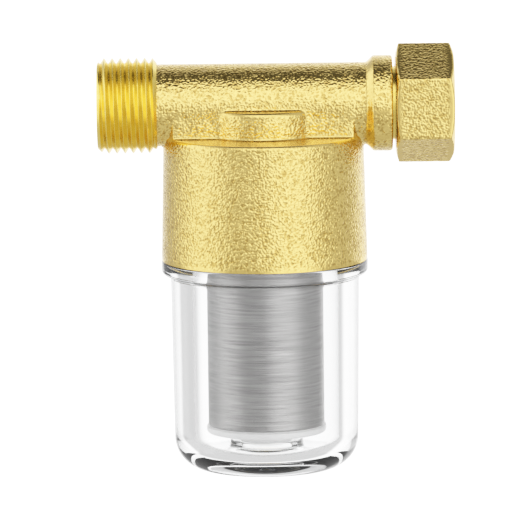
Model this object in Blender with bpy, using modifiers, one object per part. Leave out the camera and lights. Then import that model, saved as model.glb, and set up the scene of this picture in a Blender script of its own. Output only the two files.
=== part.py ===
"""In-line magnetic water filter: brass head, swivel nut, clear screw-on bowl, mesh cartridge with a magnet rod.

Frame: origin at the centre of the bowl's flat underside, +Z up along the bowl, +X along the run from the
threaded outlet to the swivel-nut inlet. Every length below is in millimetres; MM turns it into metres where
a mesh is made. Radii are R, diameters are never used.
"""

import math

import bmesh
import bpy
from mathutils import Matrix

MM = 0.001
GAP = 0.3  # clearance kept between neighbouring pieces
FINE, MEDIUM, COARSE = 48, 32, 16  # segments around large, middling and small round pieces
MERGE = 0.00001
SNAP = 0.005  # thread rows this close to an end plane are put on it

# Run: the horizontal tube with its fittings
RUN_Z = 81.6
RUN_R = 9.15
RUN_BORE_R = 6.5
OUTLET_X = -36.9
COLLAR_R = 10.65
COLLAR_X0, COLLAR_X1 = 24.5, 28.8
FLARE_X = 23.0
NECK_R = 8.15
NECK_END_X = 34.4

# Pipe thread G1/2
PIPE_PITCH = 1.814
PIPE_CREST_R = 10.4775
PIPE_ROOT_R = 9.3155
PIPE_THREAD_END_X = -23.6
PIPE_FIRST_CREST = 0.7  # from the outlet's face
PIPE_HALVES = (0.0, PIPE_PITCH / 2)  # a sharp crest, and a root that meets the next thread's
PIPE_RUN_OUT = (1.0, 1.4)
STEEP_RUN_OUT = 9.0  # at a mouth, where the thread starts at its full depth

# Cup, shoulder, fairing and boss of the head
RIM_Z = 46.9
SHOULDER_Z = 75.0
CUP_RIM_R = 23.0
CUP_TOP_R = 22.3
CUP_EDGE_R = 0.7
FAIRING_HALF_WIDTH = 8.95
FAIRING_R = 21.9
BOSS_R = 13.2
BOSS_TOP_Z = 81.2
BOSS_FILLET_R = 2.0
BOSS_EDGE_R = 0.6

# Inside of the head
CAVITY_R = 18.8
CEILING_Z = 71.5
GLAND_R = 21.3
GLAND_TOP_Z = 49.4
CHAMBER_R = 9.0
CHAMBER_TOP_Z = 78.8
RISER_R = 6.2
OUTLET_BORE_END_X = 7.0
INLET_BORE_END_X = 11.5
PORT_X = 15.6
PORT_HALF = (3.2, 5.4)

# Bowl thread, right-handed and shared by bowl and head
BOWL_PITCH = 3.0
BOWL_CREST_R = 19.95
BOWL_ROOT_R = 18.6
BOWL_CREST_HALF = 0.3
BOWL_FLANK = math.radians(30.0)
BOWL_THREAD_Z = (49.7, 57.9)
BOWL_THREAD_LEAD = 2.4  # the socket's thread is cut from this far below its mouth
BOWL_RUN_OUT = 1.2

# Bowl
FLANGE_TOP_Z = RIM_Z - GAP
FLANGE_BOTTOM_Z = 43.8
FLANGE_R = 23.05
FLANGE_EDGE_R = 0.8
FLANGE_FILLET_R = 1.2
BOWL_TOP_Z = 58.2
BOWL_NECK_R = 18.5
BOWL_WALL_TOP_R = 21.05
BOWL_WALL_FOOT_R = 20.6
BOWL_CORNER_R = 7.1
BOWL_CORNER_Z = 6.7  # the corner's arc starts here and meets the underside at a slight edge
BOWL_INNER_TOP_R = 16.7
BOWL_INNER_FOOT_R = 16.4
FLOOR_Z = 3.6
FLOOR_FILLET_R = 4.2
SOCKET_OUTER_R = (8.35, 8.1)
SOCKET_INNER_R = (6.1, 6.2)
SOCKET_TOP_Z = 6.3

# Swivel nut and what is inside it
NUT_X = (29.5, 42.5)
NUT_CORNER_R = 13.4
NUT_LIP_X = 31.2
NUT_LIP_R = NECK_R + GAP
NUT_RECESS_R = 9.4
NUT_THREAD_X = 33.7
NUT_THREAD_ROOT_R = PIPE_ROOT_R + 0.035
NUT_THREAD_CREST_R = PIPE_CREST_R + 0.025
NUT_MOUTH_R = 10.7
NUT_CHAMFERS = ((0.8, 2.7), (1.0, 2.3))  # axial and radial, at the collar end and at the open end
RING_WIRE_R = 0.6
RING_X = NUT_LIP_X + GAP + RING_WIRE_R
RING_GROOVE_R = 7.3
RING_R = RING_GROOVE_R + GAP + RING_WIRE_R
RING_OPENING = math.radians(50.0)
WASHER_R = (6.8, 9.0)
WASHER_THICK = 2.0

# Seals, as (centre radius, cross-section radius, height)
BOWL_SEAL = (19.9, 1.1, 48.0)
NECK_SEAL = (8.1, 0.6, 74.9)
PLUG_SEAL = (3.8, 0.5, 8.3)

# Cartridge
CAP_R = 13.45
BOTTOM_CAP_Z = (8.1, 9.5)
TOP_CAP_Z = (66.3, 68.3)
MESH_R = (12.6, 13.1)
CAGE_R = (11.2, 12.2)
UPSTAND_R = (9.9, 10.9)
UPSTAND_HEIGHT = 3.0
SPIGOT_R = 5.8
SPIGOT_BOTTOM_Z = 5.2
SPIGOT_ROUND = 1.6
PLUG_BORE_R = 4.6
SHEATH_SEAT_Z = 10.0
SHEATH_COLLAR_R = 7.0
SHEATH_COLLAR_TOP_Z = 15.0
TOP_NECK_R = (5.6, 8.4)
TOP_NECK_END_Z = 78.2
NECK_GROOVE_R = 7.2
CAGE_WINDOW_ROWS = 4
CAGE_WINDOW_COLUMNS = 6
CAGE_RIB = 2.6

# Magnet rod
SHEATH_R = (4.4, 5.0)
SHEATH_TOP_Z = 61.7
SHEATH_WALL = 0.7
MAGNET_R = 4.0
MAGNET_COUNT = 4
MAGNET_LENGTH = 9.6
POLE_LENGTH = 1.8
STACK_Z = 10.6
PLUG_R = 4.3
PLUG_NOSE_R = 4.0
PLUG_Z = (5.7, 9.8, 10.3)
PLUG_GROOVE_R = 3.0
PLUG_SLOT = (1.0, 1.2)


# ---------------------------------------------------------------- scene, collections, materials


def empty_scene():
    for obj in list(bpy.data.objects):
        bpy.data.objects.remove(obj, do_unlink=True)


def new_collection(name):
    found = bpy.data.collections.new(name)
    bpy.context.scene.collection.children.link(found)
    return found


def principled(name, colour, metallic, roughness, transmission=0.0):
    made = bpy.data.materials.new(name)
    made.use_nodes = True
    shader = made.node_tree.nodes["Principled BSDF"]
    shader.inputs["Base Color"].default_value = (*colour, 1.0)
    shader.inputs["Metallic"].default_value = metallic
    shader.inputs["Roughness"].default_value = roughness
    shader.inputs["Transmission Weight"].default_value = transmission
    made.diffuse_color = (*colour, 1.0)
    return made


def add_part(name, mesh, material):
    obj = bpy.data.objects.new(name, mesh)
    obj.data.materials.append(material)
    PARTS.objects.link(obj)
    return obj


def add_cutter(name, mesh):
    obj = bpy.data.objects.new(name, mesh)
    obj.hide_render = True
    obj.display_type = "WIRE"
    CUTTERS.objects.link(obj)
    return obj


def lay_along_run(obj):
    """Turns an object made along Z so that it lies along the run, with its zero at the bowl's axis."""
    obj.location = (0.0, 0.0, RUN_Z * MM)
    obj.rotation_euler = (0.0, math.pi / 2, 0.0)
    return obj


# ---------------------------------------------------------------- shapes


def arc(centre, radius, start_deg, end_deg, steps):
    """Points on an arc in the profile plane, both ends included. Angles are from +R towards +Z."""
    angles = [start_deg + (end_deg - start_deg) * i / steps for i in range(steps + 1)]
    return [
        (centre[0] + radius * math.cos(math.radians(a)), centre[1] + radius * math.sin(math.radians(a)))
        for a in angles
    ]


def profile_mesh(name, points, closed, twist=0.0):
    """A profile drawn in the half plane at an angle of twist degrees about Z."""
    mesh = bpy.data.meshes.new(name)
    across = (math.cos(math.radians(twist)) * MM, math.sin(math.radians(twist)) * MM)
    corners = [(r * across[0], r * across[1], z * MM) for r, z in points]
    edges = [(i, i + 1) for i in range(len(corners) - 1)]
    if closed:
        edges.append((len(corners) - 1, 0))
    mesh.from_pydata(corners, edges, [])
    return mesh


def turn(obj, segments):
    screw = obj.modifiers.new("turned", "SCREW")
    screw.angle = math.tau
    screw.steps = segments
    screw.render_steps = segments
    screw.use_merge_vertices = True
    screw.merge_threshold = MERGE
    screw.use_smooth_shade = True
    return obj


def turned_part(name, points, material, segments=MEDIUM, closed=True):
    return turn(add_part(name, profile_mesh(name, points, closed), material), segments)


def turned_cutter(name, points, twist, segments=MEDIUM):
    """Its own twist keeps a cutter's facets from lining up with those of what it cuts or joins."""
    return turn(add_cutter(name, profile_mesh(name, points, False, twist)), segments)


def plain_cylinder(name, radius, low, high, twist, segments=MEDIUM):
    """A cutter: a solid cylinder along Z between two heights."""
    return turned_cutter(name, [(0, high), (radius, high), (radius, low), (0, low)], twist, segments)


def boolean(obj, operation, other):
    step = obj.modifiers.new(operation.lower() + "_" + other.name, "BOOLEAN")
    step.operation = operation
    step.solver = "EXACT"
    step.object = other
    return obj


def thread_rows(pitch, crest_half, root_half):
    """One pitch of a thread as (offset along the axis from the crest's middle, share of the depth)."""
    if crest_half == 0:
        return [(-root_half, 0.0), (0.0, 1.0)]
    rows = [(-root_half, 0.0), (-crest_half, 1.0), (crest_half, 1.0), (root_half, 0.0)]
    return rows if 2 * root_half < pitch else rows[:3]


def threaded_rod_mesh(name, radii, pitch, span, phase, halves, run_out, segments, twist):
    """A right-handed threaded rod along Z between two planes, closed by flat ends of the root's radius.

    radii are the root's and the crest's, halves are half the crest's and half the root's width, phase is
    the height of a crest at angle 0, and run_out is the rise of the thread per millimetre from either end.
    Its rows follow the helix. A row past an end plane is held on that plane, where the run-out has
    brought the thread down to the root, so that all of a column's held points are one point. twist is a
    share of a segment that keeps its facets from lining up with those of the piece it cuts or joins.
    """
    root_r, crest_r = radii
    start, end = span
    rows = thread_rows(pitch, *halves)
    first_turn = math.floor((start - phase) / pitch) - 3
    last_turn = math.ceil((end - phase) / pitch) + 2
    ladder = [(k * pitch + off, share) for k in range(first_turn, last_turn + 1) for off, share in rows]

    def point(i, row):
        offset, share = ladder[row]
        turned = (i + twist) / segments
        angle = math.tau * turned
        z = phase + pitch * turned + offset
        z = start if z < start + SNAP else end if z > end - SNAP else z
        room = min((z - start) * run_out[0], (end - z) * run_out[1])
        r = root_r + min(share * (crest_r - root_r), room)
        return (r * math.cos(angle) * MM, r * math.sin(angle) * MM, z * MM)

    made = bmesh.new()
    last_row = len(ladder) - 1
    grid = [[made.verts.new(point(i, row)) for row in range(last_row + 1)] for i in range(segments)]
    for i in range(segments):
        for row in range(last_row):
            if i + 1 < segments:
                right, above = grid[i + 1][row], grid[i + 1][row + 1]
            else:
                right = grid[0][min(row + len(rows), last_row)]
                above = grid[0][min(row + 1 + len(rows), last_row)]
            if right is not above:
                made.faces.new((grid[i][row], right, above, grid[i][row + 1]))
    bmesh.ops.remove_doubles(made, verts=made.verts, dist=0.0005 * MM)
    bmesh.ops.holes_fill(made, edges=made.edges, sides=0)
    bmesh.ops.recalc_face_normals(made, faces=made.faces)
    bmesh.ops.triangulate(made, faces=made.faces)
    mesh = bpy.data.meshes.new(name)
    made.to_mesh(mesh)
    made.free()
    return mesh


def prism_mesh(name, outline, low, high, top_round=0.0):
    """A closed outline raised from one height to another, with its upper edge rounded."""
    made = bmesh.new()
    corners = [made.verts.new((x * MM, y * MM, low * MM)) for x, y in outline]
    base = made.faces.new(corners)
    raised = bmesh.ops.extrude_face_region(made, geom=[base])["geom"]
    top = [item for item in raised if isinstance(item, bmesh.types.BMVert)]
    bmesh.ops.translate(made, verts=top, vec=(0.0, 0.0, (high - low) * MM))
    bmesh.ops.recalc_face_normals(made, faces=made.faces)
    if top_round:
        ring = [e for e in made.edges if all(v in top for v in e.verts)]
        bmesh.ops.bevel(made, geom=ring, offset=top_round * MM, segments=3, profile=0.5, affect="EDGES")
    mesh = bpy.data.meshes.new(name)
    made.to_mesh(mesh)
    made.free()
    return mesh


def boxes_mesh(name, boxes):
    """Separate boxes in one mesh. Each is (size, place, turn about Z), turned after it is placed."""
    made = bmesh.new()
    for size, place, angle in boxes:
        frame = (
            Matrix.Rotation(angle, 4, "Z")
            @ Matrix.Translation([value * MM for value in place])
            @ Matrix.Diagonal([value * MM for value in size] + [1.0])
        )
        bmesh.ops.create_cube(made, size=1.0, matrix=frame)
    mesh = bpy.data.meshes.new(name)
    made.to_mesh(mesh)
    made.free()
    return mesh


# ---------------------------------------------------------------- brass head


def fairing_outline():
    """Plan of the fairing and boss: a slab with round ends, a round boss through it and filleted corners."""
    w, fillet = FAIRING_HALF_WIDTH, BOSS_FILLET_R
    end_angle = math.degrees(math.asin(w / FAIRING_R))
    centre_y = w + fillet
    centre_x = math.sqrt((BOSS_R + fillet) ** 2 - centre_y**2)
    touch_angle = math.degrees(math.atan2(centre_y, centre_x))
    quarter = arc((0, 0), FAIRING_R, 0, end_angle, 5)
    quarter += arc((centre_x, centre_y), fillet, 270, 180 + touch_angle, 4)
    quarter += arc((0, 0), BOSS_R, touch_angle, 90, 6)[1:]
    half = quarter + [(-x, y) for x, y in reversed(quarter[:-1])]
    return half + [(x, -y) for x, y in reversed(half[1:-1])]


def head_void():
    """Everything that is hollow in the head, joined into one cutter."""
    cavity = [(0, CEILING_Z), (CAVITY_R, CEILING_Z), (CAVITY_R, GLAND_TOP_Z), (GLAND_R, GLAND_TOP_Z)]
    cavity += [(GLAND_R, RIM_Z - 2), (0, RIM_Z - 2)]
    void = turned_cutter("head_void", cavity, 1.7, FINE)

    chamber = [(0, RUN_Z + 1), (RISER_R, RUN_Z + 1), (RISER_R, CHAMBER_TOP_Z), (CHAMBER_R, CHAMBER_TOP_Z)]
    chamber += [(CHAMBER_R, CEILING_Z - 1), (0, CEILING_Z - 1)]
    boolean(void, "UNION", turned_cutter("chamber_cutter", chamber, 2.6))
    for name, low, high, twist in (
        ("outlet_bore_cutter", OUTLET_X - 2, OUTLET_BORE_END_X, 3.1),
        ("inlet_bore_cutter", INLET_BORE_END_X, NECK_END_X + 2, 2.3),
    ):
        boolean(void, "UNION", lay_along_run(plain_cylinder(name, RUN_BORE_R, low, high, twist)))

    port = plain_cylinder("port_cutter", PORT_HALF[0], CEILING_Z - 1, RUN_Z - 1, 4.3, COARSE)
    port.location.x = PORT_X * MM
    port.scale.y = PORT_HALF[1] / PORT_HALF[0]
    boolean(void, "UNION", port)

    widen = GAP / math.cos(BOWL_FLANK)
    radii = (BOWL_ROOT_R + GAP, BOWL_CREST_R + GAP)
    root_half, crest_half = [BOWL_CREST_HALF + (BOWL_CREST_R - r) * math.tan(BOWL_FLANK) + widen for r in radii]
    span = (GLAND_TOP_Z - BOWL_THREAD_LEAD, BOWL_THREAD_Z[1] + 1.6)
    run_out = (STEEP_RUN_OUT, BOWL_RUN_OUT)
    name = "bowl_thread_cutter"
    halves = (crest_half, root_half)
    mesh = threaded_rod_mesh(name, radii, BOWL_PITCH, span, BOWL_THREAD_Z[0], halves, run_out, FINE, 0.63)
    return boolean(void, "UNION", add_cutter(name, mesh))


def make_head(brass):
    cup = [(0, SHOULDER_Z)]
    cup += arc((CUP_TOP_R - CUP_EDGE_R, SHOULDER_Z - CUP_EDGE_R), CUP_EDGE_R, 90, 0, 3)
    cup += [(CUP_RIM_R, RIM_Z + GAP), (CUP_RIM_R - GAP, RIM_Z), (0, RIM_Z)]
    head = turned_part("filter_head", cup, brass, FINE, closed=False)

    run = [(0, NECK_END_X), (NECK_R - 0.4, NECK_END_X), (NECK_R, NECK_END_X - 0.4)]
    groove = (RING_X + RING_WIRE_R + GAP, RING_X - RING_WIRE_R - GAP)
    run += [(NECK_R, groove[0]), (RING_GROOVE_R, groove[0]), (RING_GROOVE_R, groove[1]), (NECK_R, groove[1])]
    run += [(NECK_R, COLLAR_X1)] + arc((COLLAR_R - 0.5, COLLAR_X1 - 0.5), 0.5, 90, 0, 2)
    run += [(COLLAR_R, COLLAR_X0), (RUN_R, FLARE_X), (RUN_R, PIPE_THREAD_END_X - 1.4)]
    run += [(0, PIPE_THREAD_END_X - 1.4)]
    boolean(head, "UNION", lay_along_run(turned_cutter("run_tube", run, 1.1)))
    fairing = prism_mesh("fairing", fairing_outline(), SHOULDER_Z - 1.5, BOSS_TOP_Z, BOSS_EDGE_R)
    boolean(head, "UNION", add_cutter("fairing", fairing))
    radii = (PIPE_ROOT_R, PIPE_CREST_R)
    span = (OUTLET_X, PIPE_THREAD_END_X)
    phase = OUTLET_X + PIPE_FIRST_CREST
    name = "pipe_thread"
    thread = threaded_rod_mesh(name, radii, PIPE_PITCH, span, phase, PIPE_HALVES, PIPE_RUN_OUT, MEDIUM, 0.41)
    boolean(head, "UNION", lay_along_run(add_cutter(name, thread)))
    boolean(head, "DIFFERENCE", head_void())


# ---------------------------------------------------------------- swivel nut


def make_nut(brass):
    low, high = NUT_X
    outline = [
        (NUT_CORNER_R * math.cos(math.radians(60 * k)), NUT_CORNER_R * math.sin(math.radians(60 * k)))
        for k in range(6)
    ]
    nut = lay_along_run(add_part("swivel_nut", prism_mesh("swivel_nut", outline, low, high), brass))

    (left_axial, left_radial), (right_axial, right_radial) = NUT_CHAMFERS
    blank_r = NUT_CORNER_R + 0.2
    blank = [(0, high + 0.2), (blank_r - right_radial, high + 0.2), (blank_r, high - right_axial)]
    blank += [(blank_r, low + left_axial), (blank_r - left_radial, low - 0.2), (0, low - 0.2)]
    boolean(nut, "INTERSECT", lay_along_run(turned_cutter("nut_chamfer_blank", blank, 1.9, FINE)))

    bore = [(0, NUT_THREAD_X + 0.4), (NUT_RECESS_R, NUT_THREAD_X + 0.4), (NUT_RECESS_R, NUT_LIP_X)]
    bore += [(NUT_LIP_R, NUT_LIP_X), (NUT_LIP_R, low - 1), (0, low - 1)]
    boolean(nut, "DIFFERENCE", lay_along_run(turned_cutter("nut_bore_cutter", bore, 2.2)))
    radii = (NUT_THREAD_ROOT_R, NUT_THREAD_CREST_R)
    span = (NUT_THREAD_X, high + 1.5)
    run_out = (PIPE_RUN_OUT[1], STEEP_RUN_OUT)
    name = "nut_thread_cutter"
    mesh = threaded_rod_mesh(name, radii, PIPE_PITCH, span, high, PIPE_HALVES, run_out, MEDIUM, 0.55)
    boolean(nut, "DIFFERENCE", lay_along_run(add_cutter(name, mesh)))
    mouth = [(0, high + 1), (NUT_MOUTH_R + 1, high + 1), (NUT_MOUTH_R, high)]
    mouth += [(NUT_THREAD_ROOT_R - 0.2, high - 1.3), (0, high - 1.3)]
    boolean(nut, "DIFFERENCE", lay_along_run(turned_cutter("nut_mouth_cutter", mouth, 0.8)))


def make_retaining_ring(steel):
    """An open ring of round wire in the neck's groove."""
    curve = bpy.data.curves.new("nut_retaining_ring", "CURVE")
    curve.dimensions = "3D"
    curve.bevel_depth = RING_WIRE_R * MM
    curve.bevel_resolution = 2
    curve.use_fill_caps = True
    count = 29
    wire = curve.splines.new("POLY")
    wire.points.add(count - 1)
    for i, point in enumerate(wire.points):
        angle = RING_OPENING / 2 + (math.tau - RING_OPENING) * i / (count - 1)
        point.co = (0.0, RING_R * MM * math.cos(angle), RING_R * MM * math.sin(angle), 1.0)
    curve.materials.append(steel)
    ring = bpy.data.objects.new("nut_retaining_ring", curve)
    ring.location = (RING_X * MM, 0.0, RUN_Z * MM)
    PARTS.objects.link(ring)


def make_union_washer(rubber):
    inner, outer = WASHER_R
    low = NECK_END_X + GAP
    high = low + WASHER_THICK
    points = [(inner, high), (outer, high), (outer, low), (inner, low)]
    lay_along_run(turned_part("union_washer", points, rubber))


# ---------------------------------------------------------------- bowl


def make_bowl(clear):
    body = [(0, BOWL_TOP_Z), (BOWL_NECK_R - 0.6, BOWL_TOP_Z), (BOWL_NECK_R, BOWL_TOP_Z - 0.6)]
    body += [(BOWL_NECK_R, FLANGE_TOP_Z)] + arc((FLANGE_R - 0.4, FLANGE_TOP_Z - 0.4), 0.4, 90, 0, 2)
    lower_edge = (FLANGE_R - FLANGE_EDGE_R, FLANGE_BOTTOM_Z + FLANGE_EDGE_R)
    body += arc(lower_edge, FLANGE_EDGE_R, 0, -90, 3)
    fillet_centre = (BOWL_WALL_TOP_R + FLANGE_FILLET_R, FLANGE_BOTTOM_Z - FLANGE_FILLET_R)
    body += arc(fillet_centre, FLANGE_FILLET_R, 90, 180, 3)
    corner_end = math.degrees(math.asin(BOWL_CORNER_Z / BOWL_CORNER_R))
    body += arc((BOWL_WALL_FOOT_R - BOWL_CORNER_R, BOWL_CORNER_Z), BOWL_CORNER_R, 0, -corner_end, 7) + [(0, 0)]
    bowl = turned_part("filter_bowl", body, clear, FINE, closed=False)

    radii = (BOWL_ROOT_R, BOWL_CREST_R)
    halves = (BOWL_CREST_HALF, BOWL_CREST_HALF + (BOWL_CREST_R - BOWL_ROOT_R) * math.tan(BOWL_FLANK))
    run_out = (BOWL_RUN_OUT, BOWL_RUN_OUT)
    name = "bowl_thread"
    mesh = threaded_rod_mesh(
        name, radii, BOWL_PITCH, BOWL_THREAD_Z, BOWL_THREAD_Z[0], halves, run_out, FINE, 0.37
    )
    boolean(bowl, "UNION", add_cutter(name, mesh))

    inside = [(0, BOWL_TOP_Z + 1), (BOWL_INNER_TOP_R, BOWL_TOP_Z + 1)]
    inside += arc((BOWL_INNER_FOOT_R - FLOOR_FILLET_R, FLOOR_Z + FLOOR_FILLET_R), FLOOR_FILLET_R, 0, -90, 5)
    inside += [(SOCKET_OUTER_R[0], FLOOR_Z), (SOCKET_OUTER_R[1], SOCKET_TOP_Z)]
    inside += [(SOCKET_INNER_R[1], SOCKET_TOP_Z), (SOCKET_INNER_R[0], FLOOR_Z), (0, FLOOR_Z)]
    boolean(bowl, "DIFFERENCE", turned_cutter("bowl_inside_cutter", inside, 2.4, FINE))


def make_seal(name, seal, rubber, segments, sides):
    centre_r, wire_r, height = seal
    points = [
        (
            centre_r + wire_r * math.cos(math.tau * i / sides),
            height - wire_r * math.sin(math.tau * i / sides),
        )
        for i in range(sides)
    ]
    turned_part(name, points, rubber, segments)


# ---------------------------------------------------------------- cartridge


def make_mesh_and_cage(steel, plastic):
    low, high = BOTTOM_CAP_Z[1] + GAP, TOP_CAP_Z[0] - GAP
    tubes = {}
    for name, radii, material in (("mesh_sleeve", MESH_R, steel), ("support_cage", CAGE_R, plastic)):
        inner, outer = radii
        points = [(inner, high), (outer, high), (outer, low), (inner, low)]
        tubes[name] = turned_part(name, points, material)
    row_pitch = (high - low - CAGE_RIB) / CAGE_WINDOW_ROWS
    width = math.tau * CAGE_R[0] / CAGE_WINDOW_COLUMNS - CAGE_RIB
    size = (2 * (CAGE_R[1] - CAGE_R[0]) + 2, width, row_pitch - CAGE_RIB)
    windows = [
        (
            size,
            (sum(CAGE_R) / 2, 0, low + CAGE_RIB / 2 + row_pitch * (row + 0.5)),
            math.tau * (column + 0.37) / CAGE_WINDOW_COLUMNS,
        )
        for row in range(CAGE_WINDOW_ROWS)
        for column in range(CAGE_WINDOW_COLUMNS)
    ]
    cutter = add_cutter("window_cutter", boxes_mesh("window_cutter", windows))
    boolean(tubes["support_cage"], "DIFFERENCE", cutter)


def make_top_cap(plastic):
    low, high = TOP_CAP_Z
    inner, outer = TOP_NECK_R
    seat = NECK_SEAL[2]
    half = NECK_SEAL[1] + GAP
    points = [(inner, TOP_NECK_END_Z), (outer - 0.5, TOP_NECK_END_Z), (outer, TOP_NECK_END_Z - 0.5)]
    points += [(outer, seat + half), (NECK_GROOVE_R, seat + half), (NECK_GROOVE_R, seat - half)]
    points += [(outer, seat - half), (outer, high), (CAP_R - 0.4, high), (CAP_R, high - 0.4), (CAP_R, low)]
    points += [(UPSTAND_R[1], low), (UPSTAND_R[1], low - UPSTAND_HEIGHT)]
    points += [(UPSTAND_R[0], low - UPSTAND_HEIGHT), (UPSTAND_R[0], low), (inner, low)]
    turned_part("cartridge_top_cap", points, plastic)


def make_bottom_cap(plastic):
    low, high = BOTTOM_CAP_Z
    collar_bore_r = SHEATH_R[1] + GAP
    points = [(collar_bore_r, SHEATH_COLLAR_TOP_Z), (SHEATH_COLLAR_R, SHEATH_COLLAR_TOP_Z)]
    points += [(SHEATH_COLLAR_R, high), (UPSTAND_R[0], high), (UPSTAND_R[0], high + UPSTAND_HEIGHT)]
    points += [(UPSTAND_R[1], high + UPSTAND_HEIGHT), (UPSTAND_R[1], high), (CAP_R, high)]
    points += arc((CAP_R - 0.7, low + 0.7), 0.7, 0, -90, 3)
    points += [(SPIGOT_R, low)]
    points += arc((SPIGOT_R - SPIGOT_ROUND / 2, SPIGOT_BOTTOM_Z + SPIGOT_ROUND / 2), SPIGOT_ROUND / 2, 0, -90, 3)
    points += [(PLUG_BORE_R, SPIGOT_BOTTOM_Z), (PLUG_BORE_R, SHEATH_SEAT_Z), (collar_bore_r, SHEATH_SEAT_Z)]
    turned_part("cartridge_bottom_cap", points, plastic)


# ---------------------------------------------------------------- magnet rod


def make_sheath(steel):
    inner, outer = SHEATH_R
    low = SHEATH_SEAT_Z + GAP
    points = [(0, SHEATH_TOP_Z)] + arc((outer - 1.2, SHEATH_TOP_Z - 1.2), 1.2, 90, 0, 3)
    points += [(outer, low), (inner, low), (inner, SHEATH_TOP_Z - SHEATH_WALL), (0, SHEATH_TOP_Z - SHEATH_WALL)]
    turned_part("magnet_sheath", points, steel, COARSE, closed=False)


def make_disc(name, low, length, material):
    edge = 0.2
    high = low + length
    points = [(0, high), (MAGNET_R - edge, high), (MAGNET_R, high - edge)]
    points += [(MAGNET_R, low + edge), (MAGNET_R - edge, low), (0, low)]
    turned_part(name, points, material, COARSE, closed=False)
    return high + GAP


def make_magnet_stack(magnet, iron):
    """Pole discs and magnets in turn, a pole disc at each end."""
    height = STACK_Z
    for number in range(1, MAGNET_COUNT + 1):
        height = make_disc(f"pole_disc_{number}", height, POLE_LENGTH, iron)
        height = make_disc(f"magnet_{number}", height, MAGNET_LENGTH, magnet)
    make_disc(f"pole_disc_{MAGNET_COUNT + 1}", height, POLE_LENGTH, iron)


def make_plug(brass):
    low, shoulder, top = PLUG_Z
    seat = PLUG_SEAL[2]
    half = PLUG_SEAL[1] + GAP
    points = [(0, top), (PLUG_NOSE_R, top), (PLUG_NOSE_R, shoulder), (PLUG_R, shoulder)]
    points += [(PLUG_R, seat + half), (PLUG_GROOVE_R, seat + half), (PLUG_GROOVE_R, seat - half)]
    points += [(PLUG_R, seat - half), (PLUG_R, low + 0.3), (PLUG_R - 0.3, low), (0, low)]
    plug = turned_part("magnet_plug", points, brass, COARSE, closed=False)
    width, depth = PLUG_SLOT
    slot = [((3 * PLUG_R, width, 2 * depth), (0, 0, low), 0.0)]
    boolean(plug, "DIFFERENCE", add_cutter("slot_cutter", boxes_mesh("slot_cutter", slot)))


# ---------------------------------------------------------------- the whole filter


def smooth_round_parts():
    for obj in PARTS.objects:
        if obj.type == "MESH":
            obj.data.shade_smooth()
            obj.data.set_sharp_from_angle(angle=math.radians(30.0))


def build():
    cast_brass = principled("cast_brass", (0.80, 0.62, 0.28), 1.0, 0.35)
    bright_brass = principled("bright_brass", (0.83, 0.63, 0.22), 1.0, 0.22)
    spring_steel = principled("spring_steel", (0.55, 0.55, 0.56), 1.0, 0.30)
    stainless_mesh = principled("stainless_mesh", (0.62, 0.61, 0.60), 1.0, 0.42)
    stainless_tube = principled("stainless_tube", (0.66, 0.66, 0.66), 1.0, 0.22)
    clear_plastic = principled("clear_plastic", (0.97, 0.98, 0.98), 0.0, 0.03, transmission=1.0)
    white_plastic = principled("white_plastic", (0.90, 0.90, 0.89), 0.0, 0.35)
    silicone = principled("silicone", (0.82, 0.84, 0.86), 0.0, 0.45)
    fibre = principled("fibre_washer", (0.10, 0.10, 0.10), 0.0, 0.60)
    magnet_nickel = principled("magnet_nickel", (0.60, 0.58, 0.54), 1.0, 0.18)
    soft_iron = principled("soft_iron", (0.35, 0.35, 0.36), 1.0, 0.45)

    make_head(cast_brass)
    make_nut(cast_brass)
    make_retaining_ring(spring_steel)
    make_union_washer(fibre)
    make_bowl(clear_plastic)
    make_seal("bowl_o_ring", BOWL_SEAL, silicone, FINE, 8)
    make_mesh_and_cage(stainless_mesh, white_plastic)
    make_top_cap(white_plastic)
    make_bottom_cap(white_plastic)
    make_seal("cartridge_o_ring", NECK_SEAL, silicone, MEDIUM, 6)
    make_sheath(stainless_tube)
    make_magnet_stack(magnet_nickel, soft_iron)
    make_plug(bright_brass)
    make_seal("plug_o_ring", PLUG_SEAL, silicone, COARSE, 6)
    smooth_round_parts()


empty_scene()
PARTS = new_collection("magnetic_system_filter")
CUTTERS = new_collection("cutters")
build()
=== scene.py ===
"""Looks of an in-line magnetic filter: blasted brass head and nut, clear bowl, woven sleeve, magnet rod.

Every size is in millimetres in the frame's own axes, +Z up along the bowl and +X along the run from the
threaded outlet to the nut. Outer sizes are read from the frame's boxes. MM turns millimetres into metres.
"""

import math

import bmesh
import bpy
from mathutils import Matrix, Vector, noise


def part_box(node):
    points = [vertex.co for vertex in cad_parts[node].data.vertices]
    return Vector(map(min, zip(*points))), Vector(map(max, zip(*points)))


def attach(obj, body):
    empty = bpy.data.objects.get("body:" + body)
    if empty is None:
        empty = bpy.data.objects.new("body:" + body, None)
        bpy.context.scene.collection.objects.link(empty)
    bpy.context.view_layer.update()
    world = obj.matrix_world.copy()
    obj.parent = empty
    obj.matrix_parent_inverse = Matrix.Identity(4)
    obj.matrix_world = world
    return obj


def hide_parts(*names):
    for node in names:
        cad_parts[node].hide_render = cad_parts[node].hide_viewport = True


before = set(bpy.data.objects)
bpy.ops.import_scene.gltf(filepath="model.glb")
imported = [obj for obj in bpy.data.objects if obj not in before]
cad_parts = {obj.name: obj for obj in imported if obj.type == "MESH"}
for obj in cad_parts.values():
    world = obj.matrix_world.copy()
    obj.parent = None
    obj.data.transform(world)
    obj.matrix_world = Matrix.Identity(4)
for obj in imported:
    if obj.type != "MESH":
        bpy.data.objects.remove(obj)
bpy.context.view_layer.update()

MM = 0.001


def box_mm(node):
    """Lowest and highest corner of a CAD node, in millimetres."""
    low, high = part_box(node)
    return low / MM, high / MM


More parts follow.
